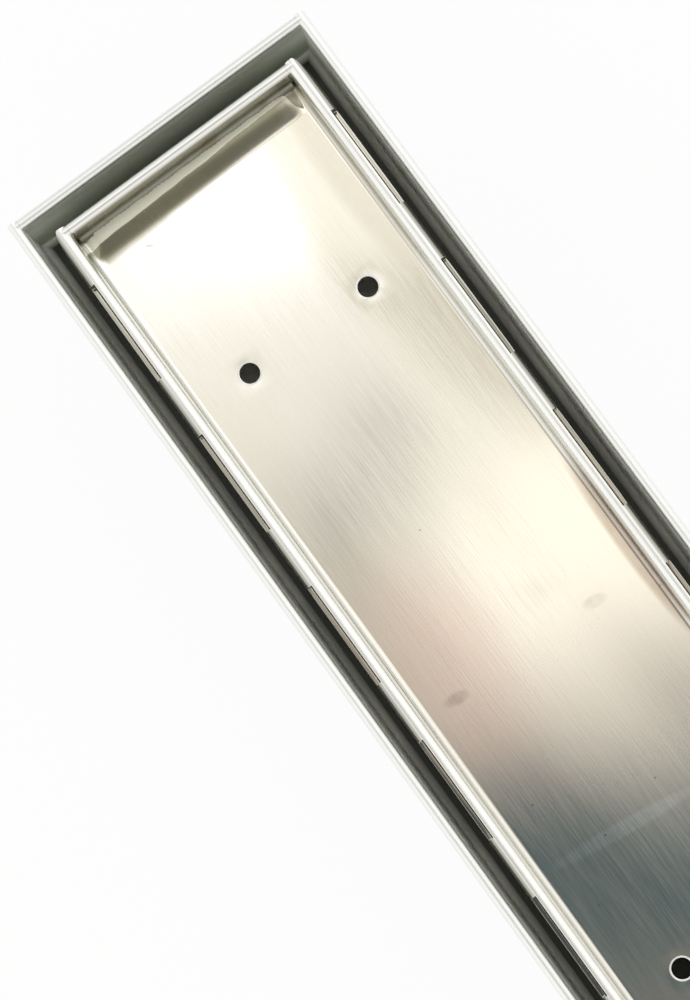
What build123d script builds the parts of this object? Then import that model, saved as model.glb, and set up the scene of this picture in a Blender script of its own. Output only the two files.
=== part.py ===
# Stainless channel drain with a tile tray.
#
# A long folded trough carries a loose tray that a floor tile is bonded into. Water runs
# down the narrow gaps between tray and trough, along the floor under the tray and out
# through a spigot under the middle. X runs along the channel, Y across it, +Z is up, and
# the origin is at the middle of the spigot's lower end, on which the drain can stand.

import os

from build123d import *

os.makedirs("parts", exist_ok=True)

# Sheet that every folded piece is made of
sheet = 1.2

# Trough
channel_length = 745
channel_width = 100
channel_height = 30
channel_bend_radius = 2.0  # inside the bend from floor to wall

# Hem along the top of the trough's walls and of every end plate
hem_gap = 0.7
hem_leaf = 8.0

# Outlet spigot under the middle of the floor
spigot_diameter = 50
spigot_wall = 1.5
spigot_length = 40

# Tile tray
tray_side_gap = 5.4  # from a wall of the trough to the tray
tray_end_gap = 6.0  # from an end plate of the trough to the tray
recess_depth = 11.0  # from the tray's top edge to its floor
fold_gap = 2.3  # inside the open fold along each side
tray_bend_radius = 1.5  # inside the bend from floor to wall
cope_length = 10.0  # rounded run-out of each fold at the tray's corners
cope_width = 1.9

# Slots in the outer leaves, just under the fold
slot_count = 14
slot_length = 31.8
slot_end_margin = 18.2  # from the tray's end to the first slot
slot_depth = 4.8  # from the tray's top down to the slot's lower edge
slot_crown_angle = 17  # where the slot ends on the fold, from straight up

# Notches between the feet of the leaves, one under each slot
notch_height = 10.0
notch_radius = 3.0

# Drip holes in the tray's floor
drip_diameter = 5.6
drip_edge_diameter = 6.4  # across the broken upper edge
drip_spacing = 40  # across the tray
drip_end_margin = 61.4  # from the tray's end to the outer row
drip_row_gap = 197.9  # from the outer row to the inner row

# Derived sizes of the trough and its hems
hem_width = 2 * sheet + hem_gap
hem_radius = (hem_gap + sheet) / 2  # to the middle of the sheet
inner_length = channel_length - 2 * hem_width
inner_width = channel_width - 2 * hem_width
floor_underside = spigot_length
floor_top = floor_underside + sheet
channel_top = floor_underside + channel_height

# Derived sizes of the tray
tray_length = inner_length - 2 * tray_end_gap
tray_width = inner_width - 2 * tray_side_gap
tray_top = channel_top
tray_height = tray_top - floor_top
tray_floor_top = tray_top - recess_depth
fold_width = 2 * sheet + fold_gap
fold_radius = (fold_gap + sheet) / 2  # to the middle of the sheet
fold_centre = Vector(tray_width / 2 - fold_width / 2, tray_top - fold_width / 2)
tray_inner_width = tray_width - 2 * fold_width
slot_pitch = (tray_length - 2 * slot_end_margin - slot_length) / (slot_count - 1)
slot_places = [((number - (slot_count - 1) / 2) * slot_pitch, 0, 0) for number in range(slot_count)]
drip_outer_span = tray_length - 2 * drip_end_margin
drip_inner_span = drip_outer_span - 2 * drip_row_gap


def floor_and_wall(width, floor_height, wall_top, bend_radius):
    """Draws half of a folded section by the middle of its sheet and returns its wall."""
    middle_radius = bend_radius + sheet / 2
    wall_line = width / 2 + sheet / 2
    floor_line = floor_height - sheet / 2
    floor = Line((0, floor_line), (wall_line - middle_radius, floor_line))
    bend = JernArc(floor @ 1, floor % 1, middle_radius, 90)
    return Line(bend @ 1, (wall_line, wall_top))


def outward_hem(wall):
    """Folds the upper end of a wall over outwards and down again."""
    hem = JernArc(wall @ 1, wall % 1, hem_radius, -180)
    Line(hem @ 1, hem @ 1 - (0, hem_leaf - hem_width / 2))


def hemmed_end_plate(inner_face, width, foot, top, corner_radius):
    """An upright end plate whose lower corners are round, to sit in the bends of a folded section."""
    with BuildPart() as end_plate:
        with BuildSketch(Plane.XZ.offset(-width / 2)):
            with BuildLine():
                plate_line = inner_face + sheet / 2
                outward_hem(Line((plate_line, foot), (plate_line, top - hem_width / 2)))
            trace(line_width=sheet)
        extrude(amount=width)
        fillet(end_plate.edges().filter_by(Axis.X).group_by(Axis.Z)[0], corner_radius)
    return end_plate.part


def write_piece(piece, name):
    """Labels one piece and writes it as a STEP file of its own."""
    piece.label = name
    export_step(piece, "parts/" + name + ".step")


# Trough: floor, walls and hems are one sheet, with the outlet hole in the middle
with BuildPart() as channel_trough:
    with BuildSketch(Plane.YZ.offset(-channel_length / 2)):
        with BuildLine():
            hem_foot = channel_top - hem_width / 2
            outward_hem(floor_and_wall(inner_width, floor_top, hem_foot, channel_bend_radius))
        trace(line_width=sheet)
        mirror(about=Plane.YZ)
    extrude(amount=channel_length)
    with Locations((0, 0, floor_top)):
        Hole(spigot_diameter / 2 - spigot_wall)

write_piece(channel_trough.part, "channel_trough")

# End plates of the trough: they stand on its floor, between its walls
channel_plate = hemmed_end_plate(inner_length / 2, inner_width, floor_top, channel_top, channel_bend_radius)
write_piece(channel_plate, "channel_end_plate_right")
write_piece(channel_plate.rotate(Axis.Z, 180), "channel_end_plate_left")


# Spigot: a pipe stub welded under the floor, its bore in line with the hole there
with BuildPart() as outlet_spigot:
    with BuildSketch():
        Circle(spigot_diameter / 2)
        Circle(spigot_diameter / 2 - spigot_wall, mode=Mode.SUBTRACT)
    extrude(amount=spigot_length)

write_piece(outlet_spigot.part, "outlet_spigot")


# Punch for one slot on each side: from its lower edge in the leaf round to the crown of the fold
with BuildPart() as slot_punch:
    with BuildSketch(Plane.YZ.offset(-slot_length / 2)):
        with BuildLine():
            crown_cut = PolarLine(fold_centre, fold_width, 90 - slot_crown_angle)
            slot_edge = tray_top - slot_depth
            outside = tray_width / 2 + fold_width
            Polyline(
                crown_cut @ 1,
                (outside, (crown_cut @ 1).Y),
                (outside, slot_edge),
                (fold_centre.X, slot_edge),
                fold_centre,
            )
        make_face()
        mirror(about=Plane.YZ)
    extrude(amount=slot_length)

# Notch between two feet: one straight cut through both leaves, round at its upper corners
with BuildPart() as foot_notch:
    with BuildSketch(Plane.XZ.offset(-tray_width)) as notch_outline:
        with Locations((0, floor_top)):
            Rectangle(slot_length, 2 * notch_height)
        fillet(notch_outline.vertices().group_by(Axis.Y)[-1], notch_radius)
    extrude(amount=2 * tray_width)

# Waste at the tray's four corners, outside the rounded run-out of each fold
with BuildPart() as corner_waste:
    with BuildSketch(Plane.XY.offset(floor_top)):
        with Locations((tray_length / 2, tray_width / 2)):
            Rectangle(cope_length, cope_width, align=(Align.MAX, Align.MAX))
        with Locations((tray_length / 2 - cope_length, tray_width / 2 - cope_width)):
            Ellipse(cope_length, cope_width, mode=Mode.SUBTRACT)
    extrude(amount=tray_height)
    mirror(about=Plane.XZ)
    mirror(about=Plane.YZ)

# Tray: floor, walls, open folds and the outer leaves that stand on the trough's floor are one sheet
with BuildPart() as tile_tray:
    with BuildSketch(Plane.YZ.offset(-tray_length / 2)):
        with BuildLine():
            tray_wall = floor_and_wall(tray_inner_width, tray_floor_top, fold_centre.Y, tray_bend_radius)
            fold = JernArc(tray_wall @ 1, tray_wall % 1, fold_radius, -180)
            Line(fold @ 1, ((fold @ 1).X, floor_top))
        trace(line_width=sheet)
        mirror(about=Plane.YZ)
    extrude(amount=tray_length)
    with Locations(*slot_places):
        add(slot_punch.part, mode=Mode.SUBTRACT)
        add(foot_notch.part, mode=Mode.SUBTRACT)
    add(corner_waste.part, mode=Mode.SUBTRACT)
    with Locations((0, 0, tray_floor_top)):
        for rows_apart in (drip_outer_span, drip_inner_span):
            with GridLocations(rows_apart, drip_spacing, 2, 2):
                CounterSinkHole(drip_diameter / 2, drip_edge_diameter / 2, counter_sink_angle=90)

write_piece(tile_tray.part, "tile_tray")

# End plates of the tray: they stand on its floor, between its walls
tray_plate = hemmed_end_plate(
    tray_length / 2 - hem_width, tray_inner_width, tray_floor_top, tray_top, tray_bend_radius
)
write_piece(tray_plate, "tray_end_plate_right")
write_piece(tray_plate.rotate(Axis.Z, 180), "tray_end_plate_left")
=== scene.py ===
"""Channel drain with a tile tray, dressed for the camera.

Every folded piece is drawn by the visible face of its sheet, swept along its length,
cut, given its thickness and rounded at its cut edges. Sizes are in millimetres, and a
finished mesh is in metres. X runs along the drain, Y across it and +Z is up.
"""

import logging
import math
from collections.abc import Callable, Iterable
from dataclasses import dataclass
from enum import Enum
from functools import cached_property, reduce
from itertools import product

import bmesh
import bpy
from mathutils import Matrix, Vector


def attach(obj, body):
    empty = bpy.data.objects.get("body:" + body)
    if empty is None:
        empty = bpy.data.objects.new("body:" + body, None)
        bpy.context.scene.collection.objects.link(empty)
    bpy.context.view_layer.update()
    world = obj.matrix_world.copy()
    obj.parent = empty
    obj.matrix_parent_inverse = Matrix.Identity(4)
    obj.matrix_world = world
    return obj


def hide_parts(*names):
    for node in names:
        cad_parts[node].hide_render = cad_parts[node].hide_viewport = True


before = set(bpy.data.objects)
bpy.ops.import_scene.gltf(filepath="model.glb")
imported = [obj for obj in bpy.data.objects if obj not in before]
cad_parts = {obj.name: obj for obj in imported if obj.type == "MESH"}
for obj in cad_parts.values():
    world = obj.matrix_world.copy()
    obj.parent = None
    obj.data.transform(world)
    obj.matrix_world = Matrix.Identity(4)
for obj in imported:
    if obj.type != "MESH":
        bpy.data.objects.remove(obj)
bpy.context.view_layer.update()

logging.basicConfig(level=logging.INFO, format="%(message)s")
log = logging.getLogger("drain")

Material = bpy.types.Material
Piece = bpy.types.Object
Socket = bpy.types.NodeSocket
Mesh = bmesh.types.BMesh
Edge = bmesh.types.BMEdge
Vert = bmesh.types.BMVert
Pair = tuple[float, float]
Point = tuple[float, float, float]
Tone = tuple[float, float, float]

MM = 0.001
SHEET = 1.2
PHOTO_SIZE = (690, 1000)
X_AXIS, Y_AXIS, Z_AXIS = Vector((1, 0, 0)), Vector((0, 1, 0)), Vector((0, 0, 1))
WHITE = (1.0, 1.0, 1.0)
SAME_PLACE = 0.001  # points this near become one
NEAR = 0.01  # slack of a test of where a point is
CUT_ANGLE = 60  # edges that turn by more are cut edges of a sheet
SHARP_ANGLE = 38  # edges that turn by more aren't shaded smoothly
BEND_STEPS, HEM_STEPS = 7, 14
EDGE_ROUNDING = 0.14


class Grain(Enum):
    """Brush lines in a metre along X, Y and Z, by the direction that they run in."""

    ALONG = (90.0, 2600.0, 2600.0)
    ACROSS = (2600.0, 90.0, 2600.0)
    ROUND = (1800.0, 1800.0, 60.0)


class End(Enum):
    """Which end of the drain a piece is at."""

    LEFT = -1
    RIGHT = 1


# Nodes and finishes


class NodeBoard:
    """A node tree that is filled one node at a time."""

    def __init__(self, tree: bpy.types.NodeTree) -> None:
        """Empties the tree.

        Args:
            tree: The tree of a material or of the world.
        """
        self.tree = tree
        tree.nodes.clear()

    def feed(self, socket: Socket, value: object) -> None:
        """Joins an input to another node, or sets it.

        Args:
            socket: The input.
            value: Another node's output, a number, a vector, or a colour of three parts.
        """
        if isinstance(value, Socket):
            self.tree.links.new(value, socket)
        else:
            socket.default_value = (*value, 1.0) if socket.type == "RGBA" else value

    def add(self, kind: str, inputs: dict | None = None, **settings: object) -> bpy.types.Node:
        """Adds a node, sets it up and joins what comes in.

        Args:
            kind: Node type without its ShaderNode prefix.
            inputs: Input name or number to what it is fed.
            **settings: Properties of the node itself.

        Returns:
            The new node.
        """
        node = self.tree.nodes.new("ShaderNode" + kind)
        for name, value in settings.items():
            setattr(node, name, value)
        for name, value in (inputs or {}).items():
            self.feed(node.inputs[name], value)
        return node

    def math(self, operation: str, *values: object) -> Socket:
        """Adds one sum of numbers or sockets, by the name of the Math node's operation."""
        return self.add("Math", dict(enumerate(values)), operation=operation).outputs[0]

    def times(self, *factors: object) -> Socket:
        """Multiplies numbers or sockets."""
        return reduce(lambda first, second: self.math("MULTIPLY", first, second), factors)

    def vector(self, operation: str, *values: object) -> bpy.types.Node:
        """Adds one sum of vectors, by the name of the Vector Math node's operation."""
        return self.add("VectorMath", dict(enumerate(values)), operation=operation)

    def spread(self, value: Socket, limits: Pair, results: Pair = (0.0, 1.0),
               smooth: bool = False) -> Socket:
        """Maps one range of a value onto another and clamps it.

        Args:
            value: The value's socket.
            limits: Values that give the first and the second result.
            results: The two results.
            smooth: Whether the change is eased at both ends.

        Returns:
            The result's socket.
        """
        inputs = {"Value": value, "From Min": limits[0], "From Max": limits[1],
                  "To Min": results[0], "To Max": results[1]}
        kind = "SMOOTHSTEP" if smooth else "LINEAR"
        return self.add("MapRange", inputs, interpolation_type=kind).outputs[0]

    def rise(self, length: Socket, start: float, end: float, smooth: bool = False) -> Socket:
        """Goes from 0 to 1 between two lengths, which are given in millimetres."""
        return self.spread(length, (start * MM, end * MM), smooth=smooth)

    def blend(self, factor: object, first: object, second: object) -> Socket:
        """Mixes two colours.

        Args:
            factor: Share of the second colour.
            first: Colour or socket.
            second: Colour or socket.

        Returns:
            The mixed colour's socket.
        """
        node = self.add("Mix", data_type="RGBA")
        for number, value in ((0, factor), (6, first), (7, second)):
            self.feed(node.inputs[number], value)
        return node.outputs[2]

    def ramp(self, value: Socket, low: float, high: float,
             stops: Iterable[tuple[float, Tone]]) -> Socket:
        """Adds a colour ramp.

        Args:
            value: The value's socket, from 0 at low to 1 at high.
            low: Place of the ramp's start, in the terms of the stops.
            high: Place of its end.
            stops: Place and colour of each stop, in order.

        Returns:
            The colour's socket.
        """
        node = self.add("ValToRGB", {"Fac": value})
        node.color_ramp.interpolation = "LINEAR"
        elements = node.color_ramp.elements
        for number, (place, tone) in enumerate(stops):
            position = (place - low) / (high - low)
            stop = elements[number] if number < 2 else elements.new(position)
            stop.position = position
            stop.color = (*tone, 1.0)
        return node.outputs["Color"]

    def centred_on(self, place: Socket, middle: Pair, turn: float) -> list[Socket]:
        """Moves and turns a place about Z, as an oval or a rectangle on it needs.

        Args:
            place: The place or direction.
            middle: What becomes the origin.
            turn: Angle of the turn, in radians.

        Returns:
            The place along X and along Y.
        """
        centred = self.vector("SUBTRACT", place, (*middle, 0.0)).outputs[0]
        turned = self.add("VectorRotate", {"Vector": centred, "Angle": turn},
                          rotation_type="Z_AXIS").outputs[0]
        return list(self.add("SeparateXYZ", {0: turned}).outputs)[:2]


class FinishBoard(NodeBoard):
    """The node tree of a material, with each point's place on the drain in metres."""

    def __init__(self, name: str) -> None:
        """Starts the material.

        Args:
            name: Its name.
        """
        self.material = bpy.data.materials.new(name)
        self.material.use_nodes = True
        super().__init__(self.material.node_tree)

    @cached_property
    def place(self) -> Socket:
        """The point's place."""
        return self.add("TexCoord").outputs["Object"]

    @cached_property
    def parts(self) -> tuple[Socket, ...]:
        """The place along X, Y and Z."""
        return tuple(self.add("SeparateXYZ", {0: self.place}).outputs)

    @cached_property
    def from_middle(self) -> Socket:
        """Distance from the middle, along the drain."""
        return self.math("ABSOLUTE", self.parts[0])

    @cached_property
    def aside(self) -> Socket:
        """Distance from the middle, across the drain."""
        return self.math("ABSOLUTE", self.parts[1])

    @property
    def height(self) -> Socket:
        """Height above the spigot's foot."""
        return self.parts[2]

    def noise(self, scale: Tone | float, detail: float = 2.0, distortion: float = 0.0,
              place: Socket | None = None) -> Socket:
        """Adds a noise that may be stretched along the axes.

        Args:
            scale: Features in a metre, along each axis or along all of them.
            detail: Octaves of the noise.
            distortion: How far the pattern is bent.
            place: Coordinates, where they aren't the point's own place.

        Returns:
            The noise's value, about 0.5 on average.
        """
        along_axes = scale if isinstance(scale, tuple) else (scale,) * 3
        place = self.place if place is None else place
        stretched = self.add("Mapping", {"Vector": place, "Scale": along_axes})
        inputs = {"Vector": stretched.outputs[0], "Scale": 1.0, "Detail": detail,
                  "Distortion": distortion}
        return self.add("TexNoise", inputs).outputs["Fac"]

    def bump(self, height: Socket, strength: float, depth: float, **below: Socket) -> Socket:
        """Adds a bump.

        Args:
            height: Height of the surface, from 0 to 1.
            strength: Share of the bump that shows.
            depth: Depth of the bump in millimetres.
            **below: Another bump's normal, as Normal.

        Returns:
            The bent normal.
        """
        inputs = {"Height": height, "Strength": strength, "Distance": depth * MM, **below}
        return self.add("Bump", inputs).outputs[0]

    def complete(self, kind: str, inputs: dict) -> Material:
        """Puts the last shader on the surface.

        Args:
            kind: Its node type.
            inputs: What it is fed.

        Returns:
            The material.
        """
        self.add("OutputMaterial", {"Surface": self.add(kind, inputs).outputs[0]})
        return self.material


@dataclass(frozen=True)
class Surface:
    """What a sheet's shader is fed at each point."""

    colour: Socket
    rough: Socket
    metal: Socket | float = 1.0


@dataclass(frozen=True)
class BrushedSteel:
    """Stainless sheet with brush lines, soft dents, smudges, and a painted highlight on its rims
    and edges.

    Kinds of sheet that are stained somewhere have a stain of their own.
    """

    name: str
    grain: Grain
    colour: Tone = (0.80, 0.785, 0.74)
    roughness: float = 0.08
    anisotropy: float = 0.8
    line_contrast: float = 0.03
    line_depth: float = 0.12
    fine_share: float = 0.8
    hair_share: float = 0.25
    hair_depth: float = 0.04
    dents: float = 0.6
    smudges: float = 0.5
    smudge_tint: Tone = (0.90, 0.85, 0.80)
    scratches: float = 0.3
    scratch_slant: float = 0.45
    rim_height: float = 68.8
    # The rim tone is a painted highlight, laid on the crowns above rim_height and on the edges.
    rim_tone: Tone = (0.95, 0.95, 0.94)
    rim_roughness: float = 0.38
    # Reach of the painted highlight on the edges.
    wear_reach: float = 0.35

    def tinted(self, tint: Tone | float) -> Tone:
        """The sheet's colour times a number, or times one for each part."""
        tints = tint if isinstance(tint, tuple) else (tint,) * 3
        return tuple(part * by for part, by in zip(self.colour, tints))

    def streaks(self, board: FinishBoard) -> Socket:
        """Fine brush lines, with broader ones among them.

        Args:
            board: The material's board.

        Returns:
            The lines' height, from 0 to 1.
        """
        fine = board.noise(self.grain.value, detail=3.0)
        broad = board.noise(tuple(part / 5 for part in self.grain.value))
        return board.math("ADD", board.times(fine, self.fine_share),
                          board.times(broad, 1 - self.fine_share))

    def hairlines(self, board: FinishBoard) -> Socket:
        """Single deeper brush lines in patches, longer and thinner than the rest.

        Args:
            board: The material's board.

        Returns:
            A mask, 1 on a line.
        """
        shifted = board.vector("ADD", board.place, (0.31, 0.17, 0.23)).outputs[0]
        scale = tuple(part * (0.6 if part < 100 else 1.5) for part in self.grain.value)
        thin = board.spread(board.noise(scale, detail=0.0, place=shifted), (0.64, 0.74))
        patches = board.noise((20.0, 30.0, 30.0), detail=1.0, place=shifted)
        return board.times(thin, board.spread(patches, (0.42, 0.62)))

    def scratch_marks(self, board: FinishBoard) -> Socket:
        """Thin slanting scratches in a few patches.

        Args:
            board: The material's board.

        Returns:
            A mask, 1 on a scratch.
        """
        turn = (0.0, 0.0, self.scratch_slant)
        turned = board.add("Mapping", {"Vector": board.place, "Rotation": turn}).outputs[0]
        thin = board.spread(board.noise((22.0, 900.0, 900.0), 1.0, place=turned), (0.70, 0.76))
        return board.times(thin, board.spread(board.noise(14.0, detail=1.0), (0.56, 0.66)))

    def worn_edges(self, board: FinishBoard) -> Socket:
        """Edges, where a highlight is painted.

        Args:
            board: The material's board.

        Returns:
            A mask, 1 on an edge.
        """
        rounded = board.add("Bevel", {"Radius": self.wear_reach * MM}, samples=6).outputs[0]
        flat = board.add("NewGeometry").outputs["Normal"]
        turn = board.vector("DOT_PRODUCT", rounded, flat).outputs["Value"]
        return board.spread(turn, (0.99, 0.82))

    def bright_rim(self, board: FinishBoard) -> Socket:
        """The crown of each fold and hem, where a highlight is painted, as a mask."""
        return board.rise(board.height, self.rim_height - 0.6, self.rim_height + 0.8)

    def stain(self, board: FinishBoard, clean: Surface) -> Surface:
        """Leaves a plain sheet as it is."""
        return clean

    def build(self) -> Material:
        """Builds the material.

        Returns:
            The material.
        """
        board = FinishBoard(self.name)
        lines, hairs = self.streaks(board), self.hairlines(board)
        marks, rim = self.scratch_marks(board), self.bright_rim(board)
        smudge = board.spread(board.noise((16.0, 22.0, 22.0), 4.0, 0.6), (0.52, 0.72))
        # Painted highlight on the cut edges and on the crowns of the folds and hems.
        bright = board.math("MAXIMUM", self.worn_edges(board), rim)

        dull, clear = self.tinted(1 - self.line_contrast), self.tinted(1 + self.line_contrast)
        colour = board.blend(board.spread(lines, (0.30, 0.70)), dull, clear)
        colour = board.blend(board.times(hairs, self.hair_share), colour, self.tinted(0.86))
        smudged = board.times(smudge, self.smudges * 0.3)
        colour = board.blend(smudged, colour, self.tinted(self.smudge_tint))

        rough_limits = (self.roughness - 0.02, self.roughness + 0.02)
        rough = board.spread(lines, (0.25, 0.75), rough_limits)
        for mask, gain in ((smudge, 0.03 * self.smudges), (marks, 0.12 * self.scratches),
                           (hairs, 0.02)):
            rough = board.math("MULTIPLY_ADD", mask, gain, rough)
        stained = self.stain(board, Surface(colour, rough))

        swell = board.bump(board.noise((9.0, 16.0, 16.0), detail=1.0), 1.0, self.dents)
        grooves = board.math("MULTIPLY_ADD", marks, -self.scratches, lines)
        grooves = board.math("MULTIPLY_ADD", hairs, -self.hair_depth, grooves)
        return board.complete("BsdfPrincipled", {
            "Base Color": board.blend(board.times(bright, 0.85), stained.colour, self.rim_tone),
            "Metallic": board.math("MAXIMUM", stained.metal, rim),
            "Roughness": board.math("MAXIMUM", stained.rough, board.times(rim, self.rim_roughness)),
            "Normal": board.bump(grooves, self.line_depth, 0.03, Normal=swell),
            "Anisotropic": self.anisotropy,
            "Anisotropic Rotation": 0.25,
            "Tangent": board.add("Tangent", direction_type="UV_MAP", uv_map="brush").outputs[0]})


@dataclass(frozen=True)
class Mark:
    """A soft oval mark laid on a sheet's colour: the tray has handling marks and specks, and
    painted highlights, reflections and shade.
    """

    middle: Pair
    reach: Pair
    tone: Tone
    share: float
    turn: float = 0.0
    mottle: float = 0.5

    def lay_over(self, board: FinishBoard, colour: Socket) -> Socket:
        """Lays the mark over the sheet's colour.

        Args:
            board: The material's board.
            colour: Colour so far.

        Returns:
            Colour with the mark.
        """
        middle = tuple(part * MM for part in self.middle)
        parts = board.centred_on(board.place, middle, self.turn)
        sides = [board.math("POWER", board.math("DIVIDE", part, reach * MM), 2.0)
                 for part, reach in zip(parts, self.reach)]
        inside = board.spread(board.math("ADD", *sides), (1.0, 0.2), smooth=True)
        cloud = board.spread(board.noise(420.0), (0.35, 0.65), (1.0 - self.mottle, 1.0))
        return board.blend(board.times(inside, cloud, self.share), colour, self.tone)


@dataclass(frozen=True)
class TroughSteel(BrushedSteel):
    """Mill-finished sheet of the trough, with painted shade down in the gaps round the tray.

    The inner tones are those of its walls from the foot up, at heights in millimetres, and those of
    its floor beside a wall, then painted shade further out in the gap and under the tray, darker
    towards the outlet.
    """

    colour: Tone = (0.66, 0.69, 0.63)
    roughness: float = 0.42
    anisotropy: float = 0.3
    line_depth: float = 0.05
    rim_height: float = 67.6
    outer: Tone = (0.44, 0.46, 0.43)
    face: tuple[tuple[float, Tone], ...] = ((41.2, (0.97, 0.98, 0.93)), (70.0, (0.97, 0.98, 0.93)))
    near: Tone = (0.97, 0.98, 0.93)
    # Painted shade: the gap floor away from the wall, and the floor under the tray, darker towards
    # the outlet.
    deep: Tone = (0.04, 0.045, 0.035)
    residue: Tone = (0.14, 0.145, 0.13)
    residue_ends: Pair = (260.0, 140.0)
    fade: Pair = (0.5, 2.4)
    gap: Pair = (5.0, 9.0)
    wall: float = 46.9
    end_wall: float = 369.4
    floor: float = 41.2
    inner_roughness: float = 0.5
    inner_metal: float = 0.1

    def stain(self, board: FinishBoard, clean: Surface) -> Surface:
        """Tones the inner faces of the gaps and the outer faces, with painted shade on the gap
        floor and under the tray, darker towards the outlet.

        Args:
            board: The material's board.
            clean: The clean sheet.

        Returns:
            The sheet with its stains.
        """
        to_end = board.math("SUBTRACT", self.end_wall * MM, board.from_middle)
        to_side = board.math("SUBTRACT", self.wall * MM, board.aside)
        nearest = board.math("MINIMUM", to_end, to_side)
        level = board.math("SUBTRACT", board.height, self.floor * MM)
        share = board.times(board.rise(nearest, -0.5, -0.2), board.rise(level, -0.6, -0.2))
        upright = board.rise(level, 0.6, 1.8)

        # Painted shade on the gap floor and under the tray, darker towards the outlet.
        outlet = board.rise(board.from_middle, *self.residue_ends)
        under = board.blend(outlet, self.near, self.residue)
        ground = board.blend(board.rise(nearest, *self.fade), self.near, self.deep)
        ground = board.blend(board.rise(nearest, *self.gap), ground, under)
        foot, top = self.face[0][0], self.face[-1][0]
        face = board.ramp(board.rise(board.height, foot, top), foot, top, self.face)
        outside = board.blend(board.rise(nearest, -0.6, -0.9), clean.colour, self.outer)
        colour = board.blend(share, outside, board.blend(upright, ground, face))

        change = board.math("SUBTRACT", self.inner_roughness, clean.rough)
        rough = board.math("MULTIPLY_ADD", board.times(share, upright), change, clean.rough)
        metal = board.math("SUBTRACT", 1.0, board.times(share, 1.0 - self.inner_metal))
        return Surface(colour, rough, metal)


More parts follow.
